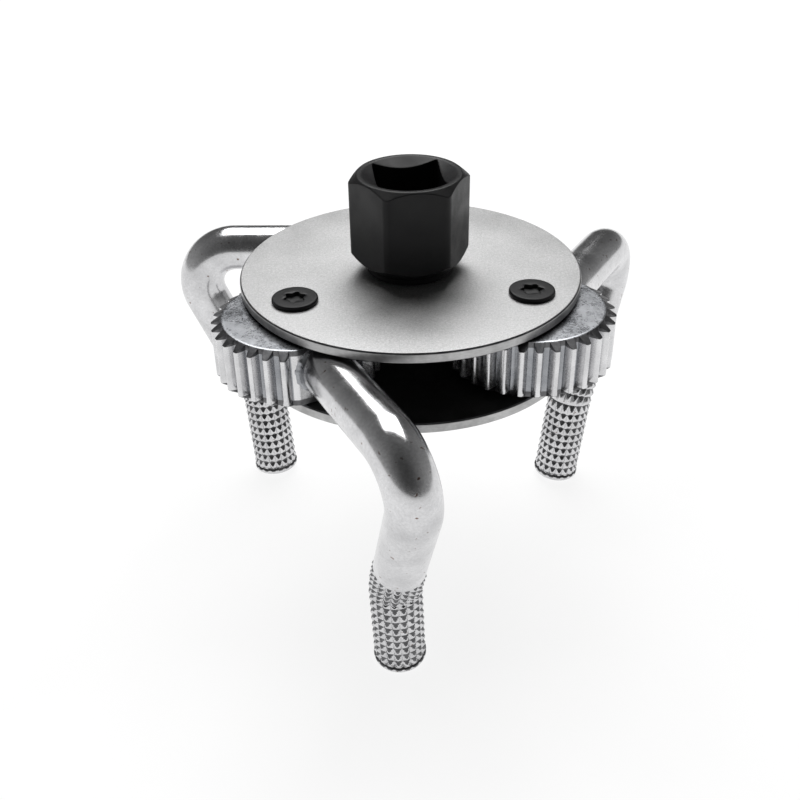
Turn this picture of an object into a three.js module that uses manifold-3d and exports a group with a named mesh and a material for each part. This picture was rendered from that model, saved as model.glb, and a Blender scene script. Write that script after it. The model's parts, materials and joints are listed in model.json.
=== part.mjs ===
// Three-jaw oil filter wrench. Millimetres, +Z up.
// The origin is the centre of the drive socket's mouth, on the drive axis; the legs hang below it.
import * as THREE from 'three';
import { mergeVertices } from 'three/addons/utils/BufferGeometryUtils.js';
import Module from 'manifold-3d';

const DEG = Math.PI / 180;

// Stack of levels along the drive axis
const HEAD_RISE = 19.85;
const PLATE_TOP = -HEAD_RISE;
const PLATE_THICK = 2.2;
const PLATE_GAP = 12.6;
const GAP_TOP = PLATE_TOP - PLATE_THICK;
const GAP_BOTTOM = GAP_TOP - PLATE_GAP;
const PLATE_BOTTOM = GAP_BOTTOM - PLATE_THICK;
const RUN_GAP = 0.3;
const SEAT_GAP = 0.1;

// Round plates
const PLATE_R = 34;
const PLATE_EDGE = 0.3;
const PLATE_SIDES = 64;

// Gear train: a sun gear on the drive shaft turns three planet gears
const GEAR_MODULE = 1;
const SUN_TEETH = 21;
const PLANET_TEETH = 31;
const PRESSURE_ANGLE = 20 * DEG;
const ADDENDUM = 0.75;
const DEDENDUM = 1.25;
const BACKLASH = 0.15;
const GEAR_TOP = GAP_TOP - RUN_GAP;
const GEAR_HEIGHT = 11.8;
const TOOTH_CHAMFER_DROP = 1.2;
const PITCH_R_SUN = GEAR_MODULE * SUN_TEETH / 2;
const PITCH_R_PLANET = GEAR_MODULE * PLANET_TEETH / 2;
const GEAR_CENTRES = PITCH_R_SUN + PITCH_R_PLANET;
const PLANET_TOOTH_TURN = 7 * DEG;
const JAW_ANGLES = [90, 210, 330].map((angle) => angle * DEG);

// Drive hub
const HEX_AF = 20.8;
const HEX_CORNER_R = 1.6;
const HEAD_TURN = 5.4 * DEG;
const HEAD_HEIGHT = 18.1;
const HEAD_TOP_R = 10.16;
const HEAD_TOP_CHAMFER = 1.5;
const HEAD_FOOT_R = 9.1;
const HEAD_FOOT_CHAMFER = 2.6;
const SOCKET_SIDE = 12.9;
const SOCKET_DEPTH = 16.5;
const COUNTERSINK_R = 9.25;
const COUNTERSINK_APEX = 4.95;
const COLLAR_R = 8.6;
const JOURNAL_R = 7.5;
const SEAT_AF = 13;
const LOWER_JOURNAL_R = 6;
const GROOVE_R = 5.2;
const RING_THICK = 1.2;
const RING_R = 7.8;
const LUG_R = 1.5;
const LUG_HOLE_R = 0.7;
const WASHER_THICK = 1;
const WASHER_R = 9.5;
const RING_TOP = PLATE_BOTTOM - RUN_GAP - WASHER_THICK - SEAT_GAP;
const SHAFT_END = RING_TOP - RING_THICK - 1;

// Pivots
const SLEEVE_R = 5;
const SLEEVE_BORE_R = 2.8;
const GEAR_BORE_R = 5.3;
const SCREW_HEAD_R = 4.45;
const SCREW_HEAD_HEIGHT = 0.98;
const SCREW_SHANK_R = 2.5;
const SCREW_REACH = 7.6;
const SCREW_HOLE_R = 2.75;
const RECESS_R = 2.2;
const RECESS_WAIST_R = 1.6;
const RECESS_DEPTH = 1.6;

// Legs: round bar, butt-welded to a flat on the planet gear's rim
const ROD_R = 5.02;
const ROD_SIDES = 20;
const ROD_LEVEL = GEAR_TOP - ROD_R;
const REST_OPENING = 84.64 * DEG;
const WELD_SCATTER = [1.2 * DEG, 0, 3 * DEG];
const GEAR_FLAT = 13.2;
const FLAT_HALF = 5.5;
const BARE_HALF = 27 * DEG;
const ROD_START = GEAR_FLAT + RUN_GAP;
const ROD_STRAIGHT_END = 38.26;
const KNEE_R = 8.47;
const KNEE_ANGLE = 114 * DEG;
const SHIN_LENGTH = 26.68;
const ANKLE_R = 6.42;
const ANKLE_ANGLE = 19.6 * DEG;
const GRIP_LENGTH = 20.1;
const GRIP_R = 5.3;
const GRIP_RISE = 0.5;
const PLAIN_SHIN = 20;
const BEND_TILT = 4.25 * DEG;
const TIP_CHAMFER = 1.2;
const WELD_REACH = 1.6;

const wasm = await Module();
wasm.setup();

const finishes = {
  black: new THREE.MeshStandardMaterial({ color: 0x161719, roughness: 0.5, metalness: 0.6 }),
  plated: new THREE.MeshStandardMaterial({ color: 0xc9cbce, roughness: 0.25, metalness: 1 }),
  tumbled: new THREE.MeshStandardMaterial({ color: 0xb4b5b3, roughness: 0.55, metalness: 0.9 }),
  steel: new THREE.MeshStandardMaterial({ color: 0x8f9194, roughness: 0.4, metalness: 1 }),
};

function toSolid(geometry) {
  const bare = geometry.clone();
  bare.deleteAttribute('normal');
  bare.deleteAttribute('uv');
  const merged = mergeVertices(bare, 1e-5);
  return new wasm.Manifold(new wasm.Mesh({
    numProp: 3,
    vertProperties: new Float32Array(merged.attributes.position.array),
    triVerts: new Uint32Array(merged.index.array),
  }));
}

function toGeometry(solid) {
  const mesh = solid.getMesh();
  const geometry = new THREE.BufferGeometry();
  geometry.setAttribute('position', new THREE.BufferAttribute(mesh.vertProperties, 3));
  geometry.setIndex(new THREE.BufferAttribute(mesh.triVerts, 1));
  return geometry;
}

function piece(name, solid, finish) {
  const mesh = new THREE.Mesh(toGeometry(solid), finishes[finish]);
  mesh.name = name;
  return mesh;
}

// A solid of revolution about Z from [radius, height] points that run from bottom to top.
function turned(points, sides) {
  const profile = points.map(([r, z]) => new THREE.Vector2(r, z));
  return toSolid(new THREE.LatheGeometry(profile, sides).rotateX(Math.PI / 2));
}

// A flat outline lifted from z = low to z = high.
function raised(shape, low, high) {
  const options = { depth: high - low, bevelEnabled: false, curveSegments: 14 };
  return toSolid(new THREE.ExtrudeGeometry(shape, options).translate(0, 0, low));
}

function disc(radius, low, high, sides) {
  return turned([[0, low], [radius, low], [radius, high], [0, high]], sides);
}

function polar(radius, angle) {
  return new THREE.Vector2(radius * Math.cos(angle), radius * Math.sin(angle));
}

// A regular hexagon with a corner at the angle turn and its corners rounded to cornerR.
function hexagon(acrossFlats, cornerR, turn) {
  const innerR = (acrossFlats / 2 - cornerR) / Math.cos(30 * DEG);
  const points = [];
  for (let corner = 0; corner < 6; corner += 1) {
    const angle = turn + corner * 60 * DEG;
    const centre = polar(innerR, angle);
    const steps = cornerR > 0 ? 3 : 0;
    for (let step = 0; step <= steps; step += 1) {
      const sweep = steps ? (step / steps - 0.5) * 60 * DEG : 0;
      points.push(centre.clone().add(polar(cornerR, angle + sweep)));
    }
  }
  return new THREE.Shape(points);
}

function square(side, turn) {
  const cornerR = side / Math.SQRT2;
  return new THREE.Shape([45, 135, 225, 315].map((angle) => polar(cornerR, turn + angle * DEG)));
}

function involute(angle) {
  return Math.tan(angle) - angle;
}

// Half of a tooth's angular width at a radius, for an involute tooth with backlash taken off.
function halfTooth(pitchR, teeth, radius) {
  const baseR = pitchR * Math.cos(PRESSURE_ANGLE);
  const atPitch = Math.PI / (2 * teeth) - BACKLASH / (2 * pitchR);
  const slope = radius > baseR ? involute(Math.acos(baseR / radius)) : 0;
  return atPitch + involute(PRESSURE_ANGLE) - slope;
}

// A gear's outline with a tooth centred on toothTurn; teeth within bareHalf of bareAt are left out.
function gearOutline(teeth, toothTurn, bareAt = 0, bareHalf = -1) {
  const pitchR = GEAR_MODULE * teeth / 2;
  const radii = [pitchR - DEDENDUM, pitchR + ADDENDUM];
  const pitch = 2 * Math.PI / teeth;
  const points = [];
  for (let tooth = 0; tooth < teeth; tooth += 1) {
    const centre = toothTurn + tooth * pitch;
    const offset = Math.abs(Math.atan2(Math.sin(centre - bareAt), Math.cos(centre - bareAt)));
    if (offset < bareHalf) {
      points.push(polar(radii[0], centre));
    } else {
      radii.forEach((r) => points.push(polar(r, centre - halfTooth(pitchR, teeth, r))));
      radii.toReversed().forEach((r) => points.push(polar(r, centre + halfTooth(pitchR, teeth, r))));
    }
  }
  return new THREE.Shape(points);
}

function driveHub() {
  const headFoot = -HEAD_HEIGHT;
  const head = raised(hexagon(HEX_AF, HEX_CORNER_R, HEAD_TURN), headFoot, 0);
  const cornerR = HEX_AF / 2 / Math.cos(30 * DEG);
  const envelope = turned([
    [0, headFoot],
    [HEAD_FOOT_R, headFoot],
    [cornerR, headFoot + HEAD_FOOT_CHAMFER],
    [cornerR, -HEAD_TOP_CHAMFER],
    [HEAD_TOP_R, 0],
    [0, 0],
  ], 48);
  const shaft = turned([
    [0, SHAFT_END],
    [LOWER_JOURNAL_R - 0.4, SHAFT_END],
    [LOWER_JOURNAL_R, SHAFT_END + 0.4],
    [LOWER_JOURNAL_R, RING_TOP - RING_THICK],
    [GROOVE_R, RING_TOP - RING_THICK],
    [GROOVE_R, RING_TOP],
    [LOWER_JOURNAL_R, RING_TOP],
    [LOWER_JOURNAL_R, GEAR_TOP + SEAT_GAP],
    [JOURNAL_R, GEAR_TOP + SEAT_GAP],
    [JOURNAL_R, PLATE_TOP + RUN_GAP],
    [COLLAR_R, PLATE_TOP + RUN_GAP],
    [COLLAR_R, headFoot + 0.5],
    [0, headFoot + 0.5],
  ], 32);
  const seatFoot = GAP_BOTTOM + RUN_GAP;
  const seat = raised(hexagon(SEAT_AF, 0, HEAD_TURN), seatFoot, GEAR_TOP + SEAT_GAP + 0.5);
  const socket = raised(square(SOCKET_SIDE, HEAD_TURN), -SOCKET_DEPTH, 1);
  const mouthR = COUNTERSINK_R * (1 + 1 / COUNTERSINK_APEX);
  const countersink = turned([[0, -COUNTERSINK_APEX], [mouthR, 1], [0, 1]], 48);
  return head.intersect(envelope).add(shaft).add(seat).subtract(socket).subtract(countersink);
}

function sunGear() {
  const low = GEAR_TOP - GEAR_HEIGHT;
  const contact = Math.round((Math.PI - PLANET_TOOTH_TURN) * PLANET_TEETH / (2 * Math.PI));
  const offset = PLANET_TOOTH_TURN + contact * 2 * Math.PI / PLANET_TEETH - Math.PI;
  const gapCentre = JAW_ANGLES[0] - offset * PITCH_R_PLANET / PITCH_R_SUN;
  const blank = raised(gearOutline(SUN_TEETH, gapCentre + Math.PI / SUN_TEETH), low, GEAR_TOP);
  return blank.subtract(raised(hexagon(SEAT_AF + 2 * SEAT_GAP, 0, HEAD_TURN), low - 1, GEAR_TOP + 1));
}

function planetGear(rodAngle) {
  const low = -GEAR_HEIGHT;
  const rootR = PITCH_R_PLANET - DEDENDUM;
  const tipR = PITCH_R_PLANET + ADDENDUM;
  const outline = gearOutline(PLANET_TEETH, PLANET_TOOTH_TURN, rodAngle, BARE_HALF);
  const envelope = turned([
    [0, low],
    [rootR, low],
    [tipR + 0.1, low + TOOTH_CHAMFER_DROP],
    [tipR + 0.1, -TOOTH_CHAMFER_DROP],
    [rootR, 0],
    [0, 0],
  ], 64);
  const bore = disc(GEAR_BORE_R, low - 1, 1, 24);
  const flat = new THREE.BoxGeometry(10, 2 * FLAT_HALF, GEAR_HEIGHT + 2)
    .translate(GEAR_FLAT + 5, 0, -GEAR_HEIGHT / 2)
    .rotateZ(rodAngle);
  return raised(outline, low, 0).intersect(envelope).subtract(bore).subtract(toSolid(flat));
}

// Round sections along a leg, in its own plane: bar out along X, knee, shin back under, ankle, grip.
function legSections() {
  const sections = [{ x: ROD_START, drop: 0, heading: 0, radius: ROD_R }];

  function run(length, radius) {
    const last = sections.at(-1);
    const x = last.x + length * Math.cos(last.heading);
    const drop = last.drop + length * Math.sin(last.heading);
    sections.push({ x, drop, heading: last.heading, radius });
  }

  function bend(bendR, to, steps) {
    const start = sections.at(-1);
    for (let step = 1; step <= steps; step += 1) {
      const heading = start.heading + (to - start.heading) * step / steps;
      const x = start.x + bendR * (Math.sin(heading) - Math.sin(start.heading));
      const drop = start.drop + bendR * (Math.cos(start.heading) - Math.cos(heading));
      sections.push({ x, drop, heading, radius: start.radius });
    }
  }

  run(ROD_STRAIGHT_END - ROD_START, ROD_R);
  bend(KNEE_R, KNEE_ANGLE, 10);
  run(PLAIN_SHIN, ROD_R);
  run(GRIP_RISE, GRIP_R);
  run(SHIN_LENGTH - PLAIN_SHIN - GRIP_RISE, GRIP_R);
  bend(-ANKLE_R, KNEE_ANGLE - ANKLE_ANGLE, 2);
  run(GRIP_LENGTH - TIP_CHAMFER, GRIP_R);
  run(TIP_CHAMFER, GRIP_R - TIP_CHAMFER);
  return sections;
}

// A closed bar through round sections that lie in the XZ plane.
function bar(sections, sides) {
  const positions = [];
  const index = [];
  const last = (sections.length - 1) * sides;
  sections.forEach(({ x, drop, heading, radius }, number) => {
    for (let side = 0; side < sides; side += 1) {
      const angle = 2 * Math.PI * side / sides;
      const out = radius * Math.cos(angle);
      const across = -radius * Math.sin(angle);
      positions.push(x + out * Math.sin(heading), across, -drop + out * Math.cos(heading));
      const here = number * sides + side;
      const next = number * sides + (side + 1) % sides;
      if (here < last) {
        index.push(here, next, next + sides, here, next + sides, here + sides);
      }
    }
  });
  for (let side = 1; side < sides - 1; side += 1) {
    index.push(0, side + 1, side, last, last + side, last + side + 1);
  }
  const geometry = new THREE.BufferGeometry();
  geometry.setAttribute('position', new THREE.Float32BufferAttribute(positions, 3));
  return geometry.setIndex(index);
}

function leg() {
  const weld = new THREE.LatheGeometry([
    new THREE.Vector2(0, 0),
    new THREE.Vector2(ROD_R + 0.15, 0),
    new THREE.Vector2(ROD_R + 0.15, 0.6),
    new THREE.Vector2(ROD_R - 0.4, WELD_REACH),
    new THREE.Vector2(0, WELD_REACH),
  ], ROD_SIDES).rotateZ(-Math.PI / 2).translate(ROD_START, 0, 0);
  return toSolid(bar(legSections(), ROD_SIDES).rotateX(BEND_TILT)).add(toSolid(weld));
}

function plate(low, boreR) {
  const high = low + PLATE_THICK;
  let solid = turned([
    [0, low],
    [PLATE_R - PLATE_EDGE, low],
    [PLATE_R, low + PLATE_EDGE],
    [PLATE_R, high - PLATE_EDGE],
    [PLATE_R - PLATE_EDGE, high],
    [0, high],
  ], PLATE_SIDES).subtract(disc(boreR, low - 1, high + 1, 32));
  JAW_ANGLES.forEach((angle) => {
    const centre = polar(GEAR_CENTRES, angle);
    const hole = disc(SCREW_HOLE_R, low - 1, high + 1, 16).translate([centre.x, centre.y, 0]);
    solid = solid.subtract(hole);
  });
  return solid;
}

// A screw with a flat low head above z = 0 and a six-lobed recess.
function screw() {
  const body = turned([
    [0, -SCREW_REACH],
    [SCREW_SHANK_R - 0.5, -SCREW_REACH],
    [SCREW_SHANK_R, -SCREW_REACH + 0.5],
    [SCREW_SHANK_R, 0],
    [SCREW_HEAD_R, 0],
    [SCREW_HEAD_R, SCREW_HEAD_HEIGHT - 0.2],
    [SCREW_HEAD_R - 0.2, SCREW_HEAD_HEIGHT],
    [0, SCREW_HEAD_HEIGHT],
  ], 20);
  const recess = [];
  for (let step = 0; step < 12; step += 1) {
    recess.push(polar(step % 2 ? RECESS_WAIST_R : RECESS_R, step * 30 * DEG));
  }
  const floor = SCREW_HEAD_HEIGHT - RECESS_DEPTH;
  return body.subtract(raised(new THREE.Shape(recess), floor, SCREW_HEAD_HEIGHT + 1));
}

function pivotSleeve() {
  return disc(SLEEVE_R, 0, PLATE_GAP, 24).subtract(disc(SLEEVE_BORE_R, -1, PLATE_GAP + 1, 16));
}

function thrustWasher() {
  const low = RING_TOP + SEAT_GAP;
  const high = low + WASHER_THICK;
  return disc(WASHER_R, low, high, 32).subtract(disc(LOWER_JOURNAL_R + RUN_GAP, low - 1, high + 1, 32));
}

// An external circlip: a C with a lug and a plier hole at each end.
function retainingRing() {
  const innerR = GROOVE_R + 0.15;
  const halfGap = 18 * DEG;
  const low = RING_TOP - RING_THICK + 0.05;
  const high = RING_TOP - 0.05;
  const outline = new THREE.Shape();
  outline.absarc(0, 0, RING_R, halfGap, 2 * Math.PI - halfGap, false);
  outline.absarc(0, 0, innerR, 2 * Math.PI - halfGap, halfGap, true);
  let ring = raised(outline, low, high);
  [1, -1].forEach((side) => {
    const lug = polar(RING_R, side * (halfGap + 10 * DEG));
    ring = ring.add(disc(LUG_R, low, high, 12).translate([lug.x, lug.y, 0]));
    ring = ring.subtract(disc(LUG_HOLE_R, low - 1, high + 1, 8).translate([lug.x, lug.y, 0]));
  });
  return ring;
}

const wrench = new THREE.Group();
wrench.add(piece('drive_hub', driveHub(), 'black'));
wrench.add(piece('sun_gear', sunGear(), 'plated'));
wrench.add(piece('thrust_washer', thrustWasher(), 'steel'));
wrench.add(piece('retaining_ring', retainingRing(), 'black'));
wrench.add(piece('top_plate', plate(GAP_TOP, JOURNAL_R + RUN_GAP), 'tumbled'));
wrench.add(piece('bottom_plate', plate(PLATE_BOTTOM, LOWER_JOURNAL_R + RUN_GAP), 'tumbled'));

JAW_ANGLES.forEach((angle, index) => {
  const number = index + 1;
  const station = new THREE.Group();
  const centre = polar(GEAR_CENTRES, angle);
  station.position.set(centre.x, centre.y, 0);
  wrench.add(station);

  const jaw = new THREE.Group();
  jaw.position.z = GEAR_TOP;
  jaw.rotation.z = angle;
  const rodAngle = REST_OPENING + WELD_SCATTER[index];
  jaw.add(piece(`planet_gear_${number}`, planetGear(rodAngle), 'plated'));
  const legMesh = piece(`leg_${number}`, leg(), 'plated');
  legMesh.position.z = ROD_LEVEL - GEAR_TOP;
  legMesh.rotation.z = rodAngle;
  jaw.add(legMesh);
  station.add(jaw);

  const sleeve = piece(`pivot_sleeve_${number}`, pivotSleeve(), 'steel');
  sleeve.position.z = GAP_BOTTOM;
  const topScrew = piece(`top_screw_${number}`, screw(), 'black');
  topScrew.position.z = PLATE_TOP;
  const bottomScrew = piece(`bottom_screw_${number}`, screw(), 'black');
  bottomScrew.position.z = PLATE_BOTTOM;
  bottomScrew.rotation.x = Math.PI;
  station.add(sleeve, topScrew, bottomScrew);
});

export default wrench;
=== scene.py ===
import json
import math

import bpy
from mathutils import Matrix, Vector


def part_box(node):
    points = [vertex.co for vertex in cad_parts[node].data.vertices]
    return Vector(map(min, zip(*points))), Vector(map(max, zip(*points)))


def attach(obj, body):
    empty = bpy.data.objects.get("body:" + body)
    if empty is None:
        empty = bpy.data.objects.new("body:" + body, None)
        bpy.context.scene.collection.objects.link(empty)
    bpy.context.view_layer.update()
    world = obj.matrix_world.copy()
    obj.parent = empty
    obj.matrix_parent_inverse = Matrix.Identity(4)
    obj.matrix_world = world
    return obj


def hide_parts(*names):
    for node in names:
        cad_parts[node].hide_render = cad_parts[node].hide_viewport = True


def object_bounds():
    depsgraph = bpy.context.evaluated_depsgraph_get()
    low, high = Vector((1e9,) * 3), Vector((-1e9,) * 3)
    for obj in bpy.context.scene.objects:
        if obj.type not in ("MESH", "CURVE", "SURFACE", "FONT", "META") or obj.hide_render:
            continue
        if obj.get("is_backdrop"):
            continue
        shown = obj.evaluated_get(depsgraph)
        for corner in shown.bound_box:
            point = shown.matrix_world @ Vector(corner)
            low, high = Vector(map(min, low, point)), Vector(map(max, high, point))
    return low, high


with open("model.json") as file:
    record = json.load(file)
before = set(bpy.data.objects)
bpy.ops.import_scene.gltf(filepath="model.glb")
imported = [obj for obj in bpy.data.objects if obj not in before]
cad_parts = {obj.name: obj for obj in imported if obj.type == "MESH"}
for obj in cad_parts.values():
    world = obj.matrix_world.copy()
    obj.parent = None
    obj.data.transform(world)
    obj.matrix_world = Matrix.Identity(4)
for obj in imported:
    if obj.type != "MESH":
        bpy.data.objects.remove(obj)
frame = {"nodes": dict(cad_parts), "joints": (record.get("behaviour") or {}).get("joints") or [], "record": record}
cad_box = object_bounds()

# Lengths in this script are millimetres; MM turns them into the frame's metres.
MM = 0.001
TURN = 2 * math.pi


def millimetres(vector):
    return Vector(vector) / MM


def level(node, end):
    """The height of a CAD node's lower (0) or upper (1) end."""
    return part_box(node)[end].z / MM


MOUNTS = {m["name"]: m for m in frame["record"]["mounts"]}
PIVOTS = {j["child"]: millimetres(j["pos_m"]) for j in frame["joints"]}
JAWS = ("jaw_1", "jaw_2", "jaw_3")

# Drive hub
HEX_HALF = 10.4
HEX_CORNER_R = 1.6
HEAD_TURN = math.radians(5.4)
HEAD_FOOT = -18.1
HEAD_TOP_R = 10.1
HEAD_TOP_CHAMFER = 1.5
HEAD_FOOT_R = 9.1
HEAD_FOOT_CHAMFER = 2.6
SOCKET_HALF = 6.45
SOCKET_CORNER_R = 0.5
SOCKET_DEPTH = 16.5
COUNTERSINK_R = 9.25
COUNTERSINK_APEX = 4.95
COLLAR_R = 8.6
JOURNAL_R = 7.5
LOWER_JOURNAL_R = 6.0
UPPER_BORE_R = 7.8
LOWER_BORE_R = 6.3
GROOVE_R = 5.2
GROOVE_WIDTH = 1.2
CIRCLIP_R = 7.78
CIRCLIP_HALF_GAP = math.radians(17)

# Gears
PRESSURE_ANGLE = math.radians(20)
ADDENDUM = 0.75
DEDENDUM = 1.25
BACKLASH = 0.15
PLANET_TEETH = 31
SUN_TEETH = 21
PLANET_TOOTH_TURN = math.radians(7)
TOOTH_CHAMFER_DROP = 1.2
GEAR_FLAT = 13.2
FLAT_HALF = math.radians(24)
BARE_HALF = math.radians(27)
GEAR_BORE_R = 5.3
SEAT_HALF = 6.6

# Legs
ROD_R = 4.96
ROD_LEVEL = 5.02
ROD_START = 13.1
ROD_STRAIGHT_END = 38.26
KNEE_R = 8.47
KNEE_ANGLE = math.radians(114)
SHIN_LENGTH = 26.68
ANKLE_R = 6.42
ANKLE_ANGLE = math.radians(19.6)
GRIP_LENGTH = 20.1
GRIP_R = 5.26
BEND_TILT = math.radians(4.25)
TIP_CHAMFER = 1.2
BRUISE_ALONG = 7.0
BRUISE_ANGLE = math.radians(8)
BRUISE_TILT = math.radians(20)
BRUISE_HALF_LENGTH = 1.8
BRUISE_HALF_WIDTH = 0.9
BRUISE_DEPTH = 0.3
KNURL_LENGTH = 29
KNURL_RIDGES = 18
KNURL_PITCH = 1.95
KNURL_DEPTH = 0.6
KNURL_CREST = 0.62
KNURL_ROW_STEPS = 10
KNURL_COLUMN_STEPS = 8

# Plates and screws
PLATE_EDGE = 0.3
SCREW_HEAD_R = 4.43
SCREW_HEAD_HEIGHT = 0.96
SCREW_SHANK_R = 2.5
SCREW_LENGTH = 7.6
SCREW_TURN = 0.7
RECESS_R = 2.2
RECESS_WAIST_R = 1.6
RECESS_DEPTH = 0.86


# ---------------------------------------------------------------- meshes


def polar(radius, angle, height):
    return (radius * math.cos(angle), radius * math.sin(angle), height)


def steps(first, last, count):
    """count + 1 evenly spaced values from first to last."""
    return [first + (last - first) * i / count for i in range(count + 1)]


def skin(name, rings, ends=("cap", "cap"), sharp=40, slot_of=None):
    """A mesh through closed rings of equal length, in millimetres; each end is a cap, or joins up.

    slot_of(ring, point) picks the material slot of the face that starts there.
    """
    count = len(rings[0])
    points = [point for ring in rings for point in ring]
    faces, slots = [], []
    spans = len(rings) - 1 + (ends[0] == "join")
    for k in range(spans):
        here, there = k * count, (k + 1) % len(rings) * count
        for i in range(count):
            j = (i + 1) % count
            faces.append((here + i, here + j, there + j, there + i))
            slots.append(slot_of(k, i) if slot_of else 0)
    for side, ring, first in ((0, rings[0], 0), (1, rings[-1], (len(rings) - 1) * count)):
        if ends[side] != "cap":
            continue
        middle = sum((Vector(p) for p in ring), Vector()) / count
        points.append(tuple(middle))
        hub = len(points) - 1
        for i in range(count):
            j = (i + 1) % count
            pair = (first + j, first + i) if side == 0 else (first + i, first + j)
            faces.append((hub, *pair))
            slots.append(slots[0] if side == 0 else slots[count * spans - 1])
    mesh = bpy.data.meshes.new(name)
    mesh.from_pydata([tuple(c * MM for c in p) for p in points], [], faces)
    mesh.polygons.foreach_set("material_index", slots)
    mesh.shade_smooth()
    mesh.set_sharp_from_angle(angle=math.radians(sharp))
    mesh.update()
    obj = bpy.data.objects.new(name, mesh)
    bpy.context.scene.collection.objects.link(obj)
    return obj


def place(obj, matrix):
    """Moves a piece's mesh, in millimetres, so that its object stays at the origin."""
    matrix = matrix.copy()
    matrix.translation *= MM
    obj.data.transform(matrix)
    return obj


def dress(obj, body, slot, materials, *nodes):
    """Gives a piece its body and materials, and hides the CAD nodes it stands for; slot is not used."""
    for material in materials:
        obj.data.materials.append(material)
    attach(obj, body)
    if nodes:
        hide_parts(*nodes)
    return obj


def turned(name, profile, sides, ends=("cap", "cap"), sharp=40, slot_of=None):
    """A solid of revolution from (radius, height) points."""
    rings = [[polar(r, TURN * i / sides, z) for i in range(sides)] for r, z in profile]
    return skin(name, rings, ends, sharp, slot_of)


def rounded(profile, radius, pieces=4):
    """The (radius, height) profile with its inner corners rounded by short curves."""
    out = [profile[0]]
    for before, corner, after in zip(profile, profile[1:], profile[2:]):
        a, b, c = Vector(before), Vector(corner), Vector(after)
        reach = min(radius, (a - b).length * 0.45, (c - b).length * 0.45)
        start = b + (a - b).normalized() * reach
        end = b + (c - b).normalized() * reach
        for t in steps(0, 1, pieces):
            out.append(tuple(start * (1 - t) ** 2 + b * (2 * t * (1 - t)) + end * t * t))
    out.append(profile[-1])
    return out


def polygon_radius(angle, sides, apothem, corner_r):
    """Distance from the middle of a regular polygon, a corner at angle 0, to its rounded outline."""
    half = math.pi / sides
    from_corner = abs((angle + half) % (2 * half) - half)
    centre = (apothem - corner_r) / math.cos(half)
    reach = math.atan2(corner_r * math.sin(half), centre + corner_r * math.cos(half))
    if from_corner < reach:
        across = centre * math.sin(from_corner)
        return centre * math.cos(from_corner) + math.sqrt(corner_r ** 2 - across ** 2)
    return apothem / math.cos(half - from_corner)


def soft_min(a, b, blend):
    return -blend * math.log(math.exp((b - a) / blend) + 1) + b if b - a < 30 * blend else a


def soft_max(a, b, blend):
    return -soft_min(-a, -b, blend)


# ---------------------------------------------------------------- drive hub


def drive_hub():
    sides = 480
    angles = [TURN * i / sides for i in range(sides)]
    corner = HEX_HALF / math.cos(math.pi / 6)
    hexagon = [polygon_radius(a - HEAD_TURN, 6, HEX_HALF, HEX_CORNER_R) for a in angles]
    square = [
        polygon_radius(a - HEAD_TURN - math.pi / 4, 4, SOCKET_HALF, SOCKET_CORNER_R)
        for a in angles
    ]
    rings = []

    def ring(radii, z):
        rings.append([polar(r, a, z) for r, a in zip(radii, angles)])

    plate_top = level("top_plate", 1)
    groove_top = level("thrust_washer", 0) - 0.1
    groove_foot = groove_top - GROOVE_WIDTH
    end = level("drive_hub", 0)
    gear_top = level("sun_gear", 1)
    shaft = [
        (LOWER_JOURNAL_R - 0.4, end),
        (LOWER_JOURNAL_R, end + 0.4),
        (LOWER_JOURNAL_R, groove_foot),
        (GROOVE_R, groove_foot),
        (GROOVE_R, groove_top),
        (LOWER_JOURNAL_R, groove_top),
        (LOWER_JOURNAL_R, gear_top + 0.1),
        (JOURNAL_R, gear_top + 0.1),
        (JOURNAL_R, plate_top + 0.3),
        (COLLAR_R, plate_top + 0.3),
        (COLLAR_R, HEAD_FOOT - 0.35),
        (COLLAR_R + 0.5, HEAD_FOOT),
    ]
    for r, z in rounded(shaft, 0.15, 2):
        ring([r] * sides, z)

    def outside(z):
        foot = HEAD_FOOT_R + (corner - HEAD_FOOT_R) * (z - HEAD_FOOT) / HEAD_FOOT_CHAMFER
        top = HEAD_TOP_R - (corner - HEAD_TOP_R) * z / HEAD_TOP_CHAMFER
        return [soft_min(soft_min(h, foot, 0.05), top, 0.05) for h in hexagon]

    for z in steps(HEAD_FOOT + 0.01, HEAD_FOOT + HEAD_FOOT_CHAMFER, 36):
        ring(outside(z), z)
    for z in steps(HEAD_FOOT + HEAD_FOOT_CHAMFER + 0.6, -HEAD_TOP_CHAMFER - 0.4, 6):
        ring(outside(z), z)
    for z in steps(-HEAD_TOP_CHAMFER, -0.06, 30):
        ring(outside(z), z)
    for r, z in ((HEAD_TOP_R - 0.06, -0.02), (HEAD_TOP_R - 0.16, 0.0)):
        ring([r] * sides, z)
    for r, z in ((COUNTERSINK_R + 0.08, 0.0), (COUNTERSINK_R, -0.04)):
        ring([r] * sides, z)

    def inside(z):
        cone = COUNTERSINK_R * (1 + z / COUNTERSINK_APEX)
        return [soft_max(s, cone, 0.05) for s in square]

    for z in steps(-0.08, -1.9, 36):
        ring(inside(z), z)
    for z in steps(-2.4, -SOCKET_DEPTH, 5):
        ring(inside(z), z)
    return skin("hub", rings, sharp=50)


# ---------------------------------------------------------------- gears


def involute(angle):
    return math.tan(angle) - angle


def half_tooth(teeth, radius):
    """Half of a tooth's angular width at a radius."""
    pitch_r = teeth / 2
    base_r = pitch_r * math.cos(PRESSURE_ANGLE)
    at_pitch = math.pi / (2 * teeth) - BACKLASH / (2 * pitch_r)
    slope = involute(math.acos(base_r / radius)) if radius > base_r else 0
    return at_pitch + involute(PRESSURE_ANGLE) - slope


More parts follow.
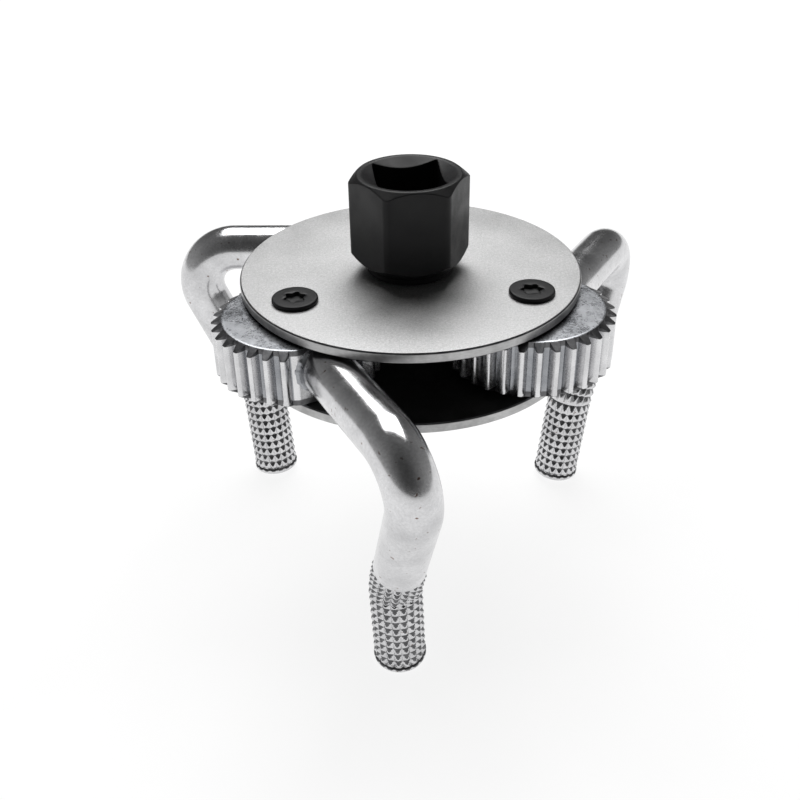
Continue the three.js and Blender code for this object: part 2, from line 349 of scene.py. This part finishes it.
def gear_outline(teeth, tooth_turn, bare_at=None):
    """(angle, radius) points round a gear, with rounded roots and crests."""
    root, tip = teeth / 2 - DEDENDUM, teeth / 2 + ADDENDUM
    crest = 0.14
    flank = [(r, half_tooth(teeth, r)) for r in steps(root + 0.25, tip - crest, 6)]
    root_half = half_tooth(teeth, root)
    side = [(root, root_half + 0.022), (root + 0.07, root_half + 0.006), *flank]
    tip_half = half_tooth(teeth, tip)
    side.append((tip - 0.04, tip_half - 0.0025))
    side.append((tip, tip_half - 0.008))
    points = []
    for tooth in range(teeth):
        centre = tooth_turn + TURN * tooth / teeth
        if bare_at is not None and abs(math.remainder(centre - bare_at, TURN)) < BARE_HALF:
            points += [(centre + TURN / teeth * t, root) for t in steps(-0.45, 0.45, 8)]
            continue
        points += [(centre - half, r) for r, half in side]
        points.append((centre, tip))
        points += [(centre + half, r) for r, half in reversed(side)]
        gap = TURN / teeth / 2
        points.append((centre + gap, root))
    return points


def gear(name, teeth, tooth_turn, height, bore, chamfer, rod_angle=None):
    """A spur gear from z = 0 down to -height, its crests turned to a cone at both faces."""
    outline = gear_outline(teeth, tooth_turn, rod_angle)
    root, tip = teeth / 2 - DEDENDUM, teeth / 2 + ADDENDUM
    bore_r = [bore(angle) for angle, _ in outline]
    levels = [(root - 1.6, 0), (root - 0.5, 0), (root - 0.12, 0), (root, -0.05)]
    if chamfer:
        levels += [(root + (tip - root) * t, -0.05 - (chamfer - 0.1) * t) for t in steps(0.1, 1, 9)]
        levels += [(tip + 0.02, -chamfer)]
    else:
        levels += [(tip - 0.1, -0.02), (tip + 0.02, -0.15)]
    mirrored = [(limit, -height - z) for limit, z in reversed(levels)]
    rings, limits = [], []

    def ring(limit, z):
        limits.append((limit, z))
        points = []
        for (angle, radius), inner in zip(outline, bore_r):
            r = min(radius, limit)
            if rod_angle is not None:
                off = abs(math.remainder(angle - rod_angle, TURN))
                if off < FLAT_HALF:
                    r = min(r, GEAR_FLAT / math.cos(off))
            points.append(polar(max(r, inner), angle, z))
        rings.append(points)

    def bore_ring(extra, z):
        limits.append((0, z))
        rings.append([polar(r + extra, a, z) for (a, _), r in zip(outline, bore_r)])

    bore_ring(0, -0.3)
    bore_ring(0.3, 0)
    for limit, z in levels + mirrored:
        ring(limit, z)
    bore_ring(0.3, -height)
    bore_ring(0, -height + 0.3)
    limits.reverse()

    def slot_of(k, i):
        """0 is a tooth's side or crest, 1 a turned chamfer in painted shade, 2 a ground face or a tooth's root,
        the root's darker tone being painted shade.
        """
        pair = [limits[k], limits[(k + 1) % len(limits)]]
        if min(limit for limit, _ in pair) < root:
            return 2
        top = all(z > -chamfer - 0.01 for _, z in pair)
        foot = all(z < chamfer - height + 0.01 for _, z in pair)
        if top or foot:
            return 1
        angle, radius = outline[i]
        bare = rod_angle is not None and abs(math.remainder(angle - rod_angle, TURN)) < BARE_HALF
        # A tooth's root takes the darker ground zinc as painted shade between the teeth.
        return 2 if radius < root + 0.2 and not bare else 0

    return skin(name, rings[::-1], ends=("join", "join"), sharp=32, slot_of=slot_of)


# ---------------------------------------------------------------- legs


def leg_path():
    """Stretches of the bar's centre line as (length, heading at the start, heading at the end)."""
    straight = ROD_STRAIGHT_END - ROD_START
    grip_heading = KNEE_ANGLE - ANKLE_ANGLE
    return (
        (straight, 0.0, 0.0),
        (KNEE_R * KNEE_ANGLE, 0.0, KNEE_ANGLE),
        (SHIN_LENGTH, KNEE_ANGLE, KNEE_ANGLE),
        (ANKLE_R * ANKLE_ANGLE, KNEE_ANGLE, grip_heading),
        (GRIP_LENGTH, grip_heading, grip_heading),
    )


def leg_station(along):
    """The centre line's (x, drop, heading) at a distance along the bar."""
    x, drop = ROD_START, 0.0
    for length, start, end in leg_path():
        reach = min(along, length)
        heading = start + (end - start) * reach / length
        if start == end:
            x += reach * math.cos(start)
            drop += reach * math.sin(start)
        else:
            radius = length / (end - start)
            x += radius * (math.sin(heading) - math.sin(start))
            drop += radius * (math.cos(start) - math.cos(heading))
        along -= reach
        if along <= 0:
            break
    return x, drop, heading


def leg_length():
    return sum(length for length, _, _ in leg_path())


def knurl_slopes(along, angle):
    """A point's distance from its pyramid's crest along and round the bar, 1 at the valleys."""
    row = along / KNURL_PITCH % 1
    column = angle / TURN * KNURL_RIDGES % 1
    if row < KNURL_CREST:
        return 1 - row / KNURL_CREST, 2 * column - 1
    return (row - KNURL_CREST) / (1 - KNURL_CREST), 2 * column - 1


def knurl(along, angle):
    """How far the knurled surface lies under its crests: rings of small square pyramids."""
    across, round_about = knurl_slopes(along, angle)
    plain_end = KNURL_LENGTH - TIP_CHAMFER - 0.3
    fade = min(1, max(0, (plain_end - along) / 0.4))
    return KNURL_DEPTH * fade * max(across, abs(round_about))


def bruised(along, angle):
    """Whether a point of the knurl lies in the bruise on leg 2, where it is flattened."""
    x = along - BRUISE_ALONG
    y = math.remainder(angle - BRUISE_ANGLE, TURN) * GRIP_R
    u = y * math.cos(BRUISE_TILT) + x * math.sin(BRUISE_TILT)
    v = x * math.cos(BRUISE_TILT) - y * math.sin(BRUISE_TILT)
    return abs(u) < BRUISE_HALF_LENGTH and abs(v) < BRUISE_HALF_WIDTH


def leg(name, bruise):
    sides = KNURL_RIDGES * KNURL_COLUMN_STEPS
    total = leg_length()
    knurl_from = total - KNURL_LENGTH
    places = steps(0, ROD_STRAIGHT_END - ROD_START, 12)
    places += steps(places[-1], places[-1] + KNEE_R * KNEE_ANGLE, 48)[1:]
    places += steps(places[-1], knurl_from - 0.05, 12)[1:]
    places += steps(knurl_from, total, round(KNURL_LENGTH / KNURL_PITCH * KNURL_ROW_STEPS))
    rings = []
    for along in places:
        x, drop, heading = leg_station(along)
        to_tip = total - along
        outward = Vector((math.sin(heading), 0, math.cos(heading)))
        middle = Vector((x, 0, -drop))
        limit = GRIP_R if along >= knurl_from else ROD_R
        if to_tip < TIP_CHAMFER:
            limit -= TIP_CHAMFER - math.sqrt(TIP_CHAMFER ** 2 - (TIP_CHAMFER - to_tip) ** 2)
        points = []
        for i in range(sides):
            angle = TURN * i / sides
            r = limit
            if along >= knurl_from:
                if bruise and bruised(along - knurl_from, angle):
                    r -= BRUISE_DEPTH
                else:
                    r -= knurl(along - knurl_from, angle)
            spoke = outward * math.cos(angle) - Vector((0, 1, 0)) * math.sin(angle)
            points.append(tuple(middle + spoke * r))
        rings.append(points)
    middle = sum((Vector(p) for p in rings[-1]), Vector()) / sides
    rings.append([tuple(middle.lerp(Vector(p), 0.4)) for p in rings[-1]])
    centres = [(a + b) / 2 - knurl_from for a, b in zip(places, places[1:])] + [KNURL_LENGTH]

    def slot_of(k, i):
        """0 is the bright bar, 1 the shaded upper side of each knurl pyramid."""
        along, angle = centres[k], TURN * (i + 0.5) / sides
        if not 0 < along < KNURL_LENGTH - TIP_CHAMFER or bruise and bruised(along, angle):
            return 0
        across, round_about = knurl_slopes(along, angle)
        upper = along / KNURL_PITCH % 1 < KNURL_CREST
        return 1 if upper and across > abs(round_about) + 0.05 else 0

    return place(skin(name, rings, sharp=35, slot_of=slot_of), Matrix.Rotation(BEND_TILT, 4, "X"))


def weld(name):
    """The bead round the bar at the gear's flat: thick at the sides, thin above and below."""
    sides = 160
    reach = 1.9
    rings = []
    for t in steps(0, 1, 10):
        ring = []
        for i in range(sides):
            angle = TURN * i / sides
            side = abs(math.cos(angle)) ** 1.5
            ripple = 0.1 * math.sin(angle * 17) + 0.06 * math.sin(angle * 31 + 1)
            height = 0.12 + (0.9 + ripple) * side
            curve = 1 - math.sqrt(max(0, 1 - (1 - t) ** 2))
            r = ROD_R - 0.06 + height * curve
            x = GEAR_FLAT + 0.02 + (reach * (0.35 + 0.65 * side) + ripple) * t
            ring.append((x, r * math.cos(angle), r * math.sin(angle)))
        rings.append(ring)
    inner = [[(x, y * 0.8, z * 0.8) for x, y, z in ring] for ring in (rings[-1], rings[0])]
    return skin(name, rings + inner, ends=("join", "join"), sharp=60)


# ---------------------------------------------------------------- plates, screws and rings


def plate(name, node, bore_r, inner_face):
    """A round plate with bevelled edges; its lower (0) or upper (1) inner_face is near black."""
    low, high = level(node, 0), level(node, 1)
    radius = (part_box(node)[1].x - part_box(node)[0].x) / 2 / MM - 0.02
    edge = PLATE_EDGE
    middle = (low + high) / 2
    profile = [
        (bore_r, middle),
        (bore_r, low),
        (radius - edge, low),
        (radius, low + edge),
        (radius, high - edge),
        (radius - edge, high),
        (bore_r, high),
        (bore_r, middle),
    ]
    points = rounded(profile, 0.12, 3)[:-1]

    def slot_of(k, _):
        """0 is a tumbled face, 1 the near-black inner face, 2 the sheared rim, 3 its edges in painted shade."""
        (r_here, z_here), (r_next, z_next) = points[k], points[(k + 1) % len(points)]
        r, z = (r_here + r_next) / 2, (z_here + z_next) / 2
        if r > radius - edge * 0.9:
            return 2 if abs(z - middle) < (high - low) / 2 - edge else 3
        inner = z < middle - 1 if inner_face == 0 else z > middle + 1
        return 1 if inner else 0

    return turned(name, points, 256, ("join", "join"), 35, slot_of)


def screw(name):
    """A low flat head over z = 0 with a six-lobed recess, and its shank below."""
    sides = 144
    angles = [TURN * i / sides for i in range(sides)]
    mid, wave = (RECESS_R + RECESS_WAIST_R) / 2, (RECESS_R - RECESS_WAIST_R) / 2
    lobes = [mid + wave * math.cos(6 * a) + 0.1 * wave * math.cos(12 * a) for a in angles]
    top = SCREW_HEAD_HEIGHT
    outside = rounded([
        (SCREW_SHANK_R - 0.5, -SCREW_LENGTH),
        (SCREW_SHANK_R, 0.5 - SCREW_LENGTH),
        (SCREW_SHANK_R, 0),
        (SCREW_HEAD_R, 0),
        (SCREW_HEAD_R, top),
        (RECESS_R + 0.35, top),
    ], 0.5, 6)
    rings = [[polar(r, a, z) for a in angles] for r, z in outside]
    lip = [(0.1, 0), (0.02, 0.04), (0, 0.15)]
    for extra, drop in lip + [(0, RECESS_DEPTH), (-0.15, RECESS_DEPTH + 0.02)]:
        rings.append([polar(r + extra, a, top - drop) for r, a in zip(lobes, angles)])
    recess_from = len(rings) - 4
    return skin(name, rings, sharp=45, slot_of=lambda k, _: 1 if k >= recess_from else 0)


def washer(name, node, inner_r):
    low, high = level(node, 0), level(node, 1)
    radius = (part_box(node)[1].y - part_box(node)[0].y) / 2 / MM - 0.02
    middle = (low + high) / 2
    profile = [(inner_r, middle), (inner_r, low), (radius, low), (radius, high), (inner_r, high)]
    points = rounded(profile + [(inner_r, middle)], 0.15, 3)[:-1]
    return turned(name, points, 128, ("join", "join"), 35)


def retaining_ring(name):
    """An external circlip, narrow at its back, with a lug at each end."""
    low, high = level("retaining_ring", 0), level("retaining_ring", 1)
    inner_r = GROOVE_R + 0.15
    rings = []
    for angle in steps(CIRCLIP_HALF_GAP, TURN - CIRCLIP_HALF_GAP, 96):
        off = abs(math.remainder(angle, TURN))
        lug = max(0.0, 1 - abs(off - CIRCLIP_HALF_GAP - 0.12) / 0.28)
        out = CIRCLIP_R - 0.7 * (off / math.pi) ** 2 + 1.3 * math.sqrt(lug)
        corners = [(inner_r, low), (out, low), (out, high), (inner_r, high)]
        section = []
        for k, (r, z) in enumerate(corners):
            dr = 0.12 if k in (0, 3) else -0.12
            dz = 0.12 if k < 2 else -0.12
            pair = [(r, z + dz), (r + dr, z)]
            section += pair if k in (0, 2) else pair[::-1]
        rings.append([polar(r, angle, z) for r, z in section])
    return skin(name, rings[::-1], sharp=30)


# ---------------------------------------------------------------- materials


class Nodes:
    """A material's node tree, built with short calls."""

    def __init__(self, name):
        self.material = bpy.data.materials.new(name)
        self.material.use_nodes = True
        self.tree = self.material.node_tree
        self.shader = self.tree.nodes["Principled BSDF"]
        self.place = self.add("ShaderNodeTexCoord").outputs["Object"]

    def add(self, kind, **settings):
        node = self.tree.nodes.new(kind)
        for key, value in settings.items():
            setattr(node, key, value)
        return node

    def link(self, source, target):
        self.tree.links.new(source, target)

    def stretched(self, scale):
        """Object coordinates multiplied by scale, for streaks."""
        mapping = self.add("ShaderNodeMapping")
        mapping.inputs["Scale"].default_value = scale
        self.link(self.place, mapping.inputs["Vector"])
        return mapping.outputs["Vector"]

    def noise(self, size_mm, detail=3.0, rough=0.55, vector=None, distort=0.0):
        """Noise with features of about size_mm."""
        node = self.add("ShaderNodeTexNoise")
        node.inputs["Scale"].default_value = 1 / (size_mm * MM)
        node.inputs["Detail"].default_value = detail
        node.inputs["Roughness"].default_value = rough
        node.inputs["Distortion"].default_value = distort
        self.link(vector or self.place, node.inputs["Vector"])
        return node.outputs["Fac"]

    def ramp(self, source, low, high, stops=(0.35, 0.65)):
        """source mapped from stops to low..high, which are numbers or colours."""
        node = self.add("ShaderNodeValToRGB")
        for element, stop, value in zip(node.color_ramp.elements, stops, (low, high)):
            element.position = stop
            element.color = (*value, 1) if isinstance(value, tuple) else (value, value, value, 1)
        self.link(source, node.inputs["Fac"])
        return node.outputs["Color"]

    def mix(self, kind, a, b):
        """a and b blended as colours; the colour sockets are inputs 6 and 7 and output 2."""
        node = self.add("ShaderNodeMix", data_type="RGBA", blend_type=kind)
        node.inputs["Factor"].default_value = 1.0
        self.link(a, node.inputs[6])
        self.link(b, node.inputs[7])
        return node.outputs[2]

    def bump(self, height, depth_mm, strength, under=None):
        node = self.add("ShaderNodeBump")
        node.inputs["Distance"].default_value = depth_mm * MM
        node.inputs["Strength"].default_value = strength
        self.link(height, node.inputs["Height"])
        if under:
            self.link(under, node.inputs["Normal"])
        return node.outputs["Normal"]

    def finish(self, color, roughness, normal=None, metallic=1.0):
        self.link(color, self.shader.inputs["Base Color"])
        self.link(roughness, self.shader.inputs["Roughness"])
        self.shader.inputs["Metallic"].default_value = metallic
        if normal:
            self.link(normal, self.shader.inputs["Normal"])
        return self.material


def black_phosphate():
    """A fine crystalline black coating, satin, with faint lighter handling marks."""
    n = Nodes("black_phosphate")
    grain = n.noise(0.18, 4)
    clouds = n.noise(5, 3)
    facets = n.ramp(grain, 0.65, 1.0)
    color = n.mix("MULTIPLY", facets, n.ramp(clouds, (0.004, 0.004, 0.0045), (0.008, 0.008, 0.009)))
    rough = n.mix("MULTIPLY", n.ramp(grain, 0.8, 1.0), n.ramp(clouds, 0.40, 0.55))
    n.shader.inputs["Specular IOR Level"].default_value = 0.28
    return n.finish(color, rough, n.bump(grain, 0.012, 0.5), metallic=0.0)


def bright_zinc():
    """Polished bar under bright zinc: near-mirror, with faint draw lines, pits and cloudy patches."""
    n = Nodes("bright_zinc")
    clouds = n.noise(6, 4)
    fine = n.noise(0.5, 5, 0.65)
    pits = n.noise(0.9, 2, 0.4)
    tone = n.ramp(clouds, (0.60, 0.60, 0.61), (0.75, 0.75, 0.76))
    tone = n.mix("MULTIPLY", tone, n.ramp(fine, 0.86, 1.0))
    color = n.mix("MULTIPLY", tone, n.ramp(pits, (0.30, 0.20, 0.16), (1.0, 1.0, 1.0), (0.25, 0.29)))
    rough = n.mix("ADD", n.ramp(clouds, 0.13, 0.19), n.ramp(fine, 0.0, 0.06))
    wavy = n.bump(n.noise(3.0, 2), 0.05, 0.1)
    normal = n.bump(n.ramp(pits, 0.0, 1.0, (0.25, 0.34)), 0.02, 0.2, wavy)
    return n.finish(color, rough, normal)


def cut_zinc():
    """Machined gear under bright zinc, with hobbing lines and a slightly swirled face."""
    n = Nodes("cut_zinc")
    clouds = n.noise(4, 4)
    lines = n.noise(0.35, 3, 0.5, n.stretched((1, 1, 8)))
    tone = n.ramp(clouds, (0.66, 0.66, 0.67), (0.82, 0.82, 0.83))
    color = n.mix("MULTIPLY", tone, n.ramp(lines, 0.82, 1.0))
    rough = n.mix("ADD", n.ramp(clouds, 0.12, 0.22), n.ramp(lines, 0.0, 0.14))
    return n.finish(color, rough, n.bump(lines, 0.02, 0.35))


def painted_shade_zinc():
    """Painted shade, dull and darker than the teeth: the dark walls that the gear chamfers and plate edges
    reflect, and the shade on the knurl pyramids' upper sides.
    """
    n = Nodes("painted_shade_zinc")
    clouds = n.noise(2.5, 4)
    lines = n.noise(0.3, 3, 0.5)
    tone = n.ramp(clouds, (0.10, 0.10, 0.105), (0.19, 0.19, 0.195))
    color = n.mix("MULTIPLY", tone, n.ramp(lines, 0.8, 1.0))
    return n.finish(color, n.ramp(clouds, 0.3, 0.4), n.bump(lines, 0.02, 0.3))


def ground_zinc_and_root_shade():
    """Blue-grey with swirled scratches: the gears' ground faces and the welds, and painted shade in the tooth
    roots.
    """
    n = Nodes("ground_zinc_and_root_shade")
    clouds = n.noise(5, 4)
    swirl = n.noise(1.3, 5, 0.62, distort=2.2)
    tone = n.ramp(clouds, (0.30, 0.31, 0.33), (0.44, 0.45, 0.47))
    color = n.mix("MULTIPLY", tone, n.ramp(swirl, 0.82, 1.0))
    rough = n.mix("ADD", n.ramp(clouds, 0.18, 0.26), n.ramp(swirl, 0.0, 0.14))
    return n.finish(color, rough, n.bump(swirl, 0.03, 0.12))


def sheared_zinc():
    """The plates' rims: plated over the sheared edge, greyer than the faces."""
    n = Nodes("sheared_zinc")
    clouds = n.noise(4, 4)
    drag = n.noise(0.8, 4, 0.6, n.stretched((1, 1, 3)))
    tone = n.ramp(clouds, (0.36, 0.36, 0.36), (0.54, 0.54, 0.54))
    color = n.mix("MULTIPLY", tone, n.ramp(drag, 0.85, 1.0))
    return n.finish(color, n.ramp(clouds, 0.3, 0.4), n.bump(drag, 0.03, 0.2))


def tumbled_zinc():
    """Vibratory-tumbled sheet: matt and pale, with a fine mottle of tiny dents."""
    n = Nodes("tumbled_zinc")
    mottle = n.noise(0.55, 4, 0.6)
    speck = n.noise(0.28, 3, 0.6)
    clouds = n.noise(9, 3)
    tone = n.ramp(clouds, (0.54, 0.54, 0.54), (0.62, 0.62, 0.62))
    tone = n.mix("MULTIPLY", tone, n.ramp(mottle, 0.8, 1.0))
    color = n.mix("MULTIPLY", tone, n.ramp(speck, 0.76, 1.0))
    rough = n.mix("ADD", n.ramp(clouds, 0.46, 0.54), n.ramp(mottle, 0.0, 0.1))
    normal = n.bump(speck, 0.02, 0.3, n.bump(mottle, 0.04, 0.35))
    return n.finish(color, rough, normal)


def inner_black():
    """The plates' inner faces, near black, oily and dull."""
    n = Nodes("inner_black")
    film = n.noise(3, 4)
    color = n.ramp(film, (0.006, 0.006, 0.006), (0.014, 0.014, 0.014))
    return n.finish(color, n.ramp(film, 0.5, 0.7), n.bump(n.noise(0.4), 0.02, 0.3), metallic=0.0)


def plain_steel():
    """Turned and oiled steel."""
    n = Nodes("plain_steel")
    rings = n.noise(0.3, 3, 0.5, n.stretched((1, 1, 6)))
    color = n.ramp(rings, (0.32, 0.32, 0.33), (0.48, 0.48, 0.49))
    return n.finish(color, n.ramp(rings, 0.3, 0.45), n.bump(rings, 0.01, 0.4))


# ---------------------------------------------------------------- the object


def build():
    black = black_phosphate()
    zinc = bright_zinc()
    gear_zinc = cut_zinc()
    shade = painted_shade_zinc()
    teeth = [gear_zinc, shade, ground_zinc_and_root_shade()]
    tumbled = tumbled_zinc()
    rim = sheared_zinc()
    inner = inner_black()
    steel = plain_steel()

    dress(drive_hub(), "drive", "black_steel", [black], "drive_hub")

    gear_top, gear_low = level("sun_gear", 1), level("sun_gear", 0)
    height = gear_top - gear_low
    contact = round((math.pi - PLANET_TOOTH_TURN) * PLANET_TEETH / TURN)
    offset = PLANET_TOOTH_TURN + contact * TURN / PLANET_TEETH - math.pi
    sun_turn = math.pi / 2 - offset * PLANET_TEETH / SUN_TEETH + math.pi / SUN_TEETH

    def hexagonal(angle):
        return polygon_radius(angle - HEAD_TURN, 6, SEAT_HALF, 0.3)

    sun = gear("sun", SUN_TEETH, sun_turn, height, hexagonal, 0)
    place(sun, Matrix.Translation((0, 0, gear_top)))
    dress(sun, "drive", "plated_steel", teeth, "sun_gear")

    under = washer("washer", "thrust_washer", LOWER_BORE_R)
    dress(under, "drive", "plain_steel", [steel], "thrust_washer")
    dress(retaining_ring("circlip"), "drive", "black_steel", [black], "retaining_ring")

    top = plate("upper_plate", "top_plate", UPPER_BORE_R, 0)
    dress(top, "frame", "tumbled_plate", [tumbled, inner, rim, shade], "top_plate")
    bottom = plate("lower_plate", "bottom_plate", LOWER_BORE_R, 1)
    dress(bottom, "frame", "tumbled_plate", [tumbled, inner, rim, shade], "bottom_plate")

    end_x, end_drop, _ = leg_station(leg_length())
    tip_turn = math.atan2(end_drop * math.sin(BEND_TILT), end_x)
    for number, body in enumerate(JAWS, 1):
        pivot = PIVOTS[body]
        outward = math.atan2(pivot.y, pivot.x)
        tip = millimetres(MOUNTS[f"leg_tip_{number}"]["pos_m"])
        rod_turn = math.atan2(tip.y - pivot.y, tip.x - pivot.x) - tip_turn
        planet_top = level(f"planet_gear_{number}", 1)
        planet = gear(
            f"planet_{number}",
            PLANET_TEETH,
            PLANET_TOOTH_TURN,
            height,
            lambda angle: GEAR_BORE_R,
            TOOTH_CHAMFER_DROP,
            rod_turn - outward,
        )
        at_gear = Matrix.Translation((pivot.x, pivot.y, planet_top)) @ Matrix.Rotation(outward, 4, "Z")
        place(planet, at_gear)
        dress(planet, body, "plated_steel", teeth, f"planet_gear_{number}")

        rod_z = planet_top - ROD_LEVEL
        at_rod = Matrix.Translation((pivot.x, pivot.y, rod_z)) @ Matrix.Rotation(rod_turn, 4, "Z")
        bar = place(leg(f"bar_{number}", bruise=number == 2), at_rod)
        dress(bar, body, "plated_steel", [zinc, shade], f"leg_{number}")
        bead = place(weld(f"weld_{number}"), at_rod)
        dress(bead, body, "plated_steel", [teeth[2]])

        faces = (("top", level("top_plate", 1), 0), ("bottom", level("bottom_plate", 0), math.pi))
        for side, z, flip in faces:
            fixing = screw(f"{side}_fixing_{number}")
            turn = Matrix.Rotation(flip, 4, "X") @ Matrix.Rotation(number * SCREW_TURN, 4, "Z")
            place(fixing, Matrix.Translation((pivot.x, pivot.y, z)) @ turn)
            dress(fixing, "frame", "black_steel", [black, inner], f"{side}_screw_{number}")

        sleeve = frame["nodes"][f"pivot_sleeve_{number}"]
        sleeve.data.materials.clear()
        sleeve.data.materials.append(steel)


# ---------------------------------------------------------------- stage, light and camera

# Angles in radians, the distance and the focal length in millimetres
CAMERA_ELEVATION = 0.4514
CAMERA_DISTANCE = 206.16
CAMERA_AZIMUTH = math.radians(-2.76)
CAMERA_PAN = 0.0115
CAMERA_TILT = -0.1294
CAMERA_ROLL = 0.0118
CAMERA_LENS = 45.87
FLOOR_GLOW = 0.86
SIDE_GLOW = 0.22


def camera():
    """The camera looks near the middle of the upper plate's top face, from close by."""
    target = Vector((0, 0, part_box("top_plate")[1].z))
    spin = Matrix.Rotation(CAMERA_AZIMUTH, 3, "Z")
    away = spin @ Vector((0, -math.cos(CAMERA_ELEVATION), math.sin(CAMERA_ELEVATION)))
    forward = -away
    right = spin @ Vector((1, 0, 0))
    up = right.cross(forward)
    pan = Matrix.Rotation(CAMERA_PAN, 3, up)
    forward, right = pan @ forward, pan @ right
    tilt = Matrix.Rotation(CAMERA_TILT, 3, right)
    forward, up = tilt @ forward, tilt @ up
    roll = Matrix.Rotation(CAMERA_ROLL, 3, forward)
    right, up = roll @ right, roll @ up
    data = bpy.data.cameras.new("camera")
    data.lens = CAMERA_LENS
    data.sensor_width = 36
    data.clip_start = 0.005
    obj = bpy.data.objects.new("camera", data)
    turn = Matrix((right, up, -forward)).transposed().to_4x4()
    obj.matrix_world = Matrix.Translation(target + away * CAMERA_DISTANCE * MM) @ turn
    bpy.context.scene.collection.objects.link(obj)
    bpy.context.scene.camera = obj


def floor():
    """A pale light table: mostly lit from within, so that it takes only a faint shadow."""
    n = Nodes("floor_white")
    tone = n.ramp(n.noise(40), 0.19, 0.21)
    n.link(n.ramp(n.noise(60), 0.99, 1.0), n.shader.inputs["Emission Color"])
    n.shader.inputs["Emission Strength"].default_value = FLOOR_GLOW
    n.shader.inputs["Specular IOR Level"].default_value = 0.0
    n.finish(tone, n.ramp(n.noise(5), 0.9, 0.95), metallic=0.0)
    mesh = bpy.data.meshes.new("floor")
    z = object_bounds()[0][2]
    corners = [(x, y, z) for x, y in ((-3, -3), (3, -3), (3, 3), (-3, 3))]
    mesh.from_pydata(corners, [], [(0, 1, 2, 3)])
    obj = bpy.data.objects.new("floor", mesh)
    obj.data.materials.append(n.material)
    bpy.context.scene.collection.objects.link(obj)
    obj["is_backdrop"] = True


def softbox(name, place_m, aim_m, size_m, watts):
    """A rectangular area light at place_m, facing aim_m."""
    data = bpy.data.lights.new(name, "AREA")
    data.shape = "RECTANGLE"
    data.size, data.size_y = size_m
    data.energy = watts
    obj = bpy.data.objects.new(name, data)
    look = Vector(aim_m) - Vector(place_m)
    turn = look.to_track_quat("-Z", "Y").to_matrix().to_4x4()
    obj.matrix_world = Matrix.Translation(place_m) @ turn
    bpy.context.scene.collection.objects.link(obj)


def studio():
    """Dark walls, softly lit at the two sides, and a big softbox over and behind the object."""
    world = bpy.data.worlds.new("studio")
    world.use_nodes = True
    tree = world.node_tree
    background = tree.nodes["Background"]
    ramp = tree.nodes.new("ShaderNodeValToRGB")
    split = tree.nodes.new("ShaderNodeSeparateXYZ")
    direction = tree.nodes.new("ShaderNodeTexCoord")
    tree.links.new(direction.outputs["Generated"], split.inputs[0])
    tree.links.new(split.outputs["Z"], ramp.inputs["Fac"])
    side = tree.nodes.new("ShaderNodeMath")
    side.operation = "MULTIPLY"
    tree.links.new(split.outputs["X"], side.inputs[0])
    tree.links.new(split.outputs["X"], side.inputs[1])
    glow = tree.nodes.new("ShaderNodeMath")
    glow.operation = "MULTIPLY_ADD"
    tree.links.new(side.outputs[0], glow.inputs[0])
    glow.inputs[1].default_value = SIDE_GLOW
    tree.links.new(ramp.outputs["Color"], glow.inputs[2])
    tree.links.new(glow.outputs[0], background.inputs["Color"])
    stops = ((0.0, 0.16), (0.25, 0.07), (0.7, 0.05), (1.0, 0.10))
    elements = ramp.color_ramp.elements
    elements[0].position = stops[0][0]
    elements[1].position = stops[-1][0]
    for position, _ in stops[1:-1]:
        elements.new(position)
    for element, (_, value) in zip(elements, stops):
        element.color = (value, value, value, 1)
    background.inputs["Strength"].default_value = 1.0
    bpy.context.scene.world = world
    softbox("ceiling_box", (0, 0.68, 0.9), (0, 0.68, 0), (0.9, 1.12), 14)


bpy.context.scene.view_settings.view_transform = "Standard"
camera()
floor()
studio()
build()

boxes = {"cad": cad_box, "visual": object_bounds()}
{k: [[float(c) for c in corner] for corner in v] for k, v in boxes.items()}
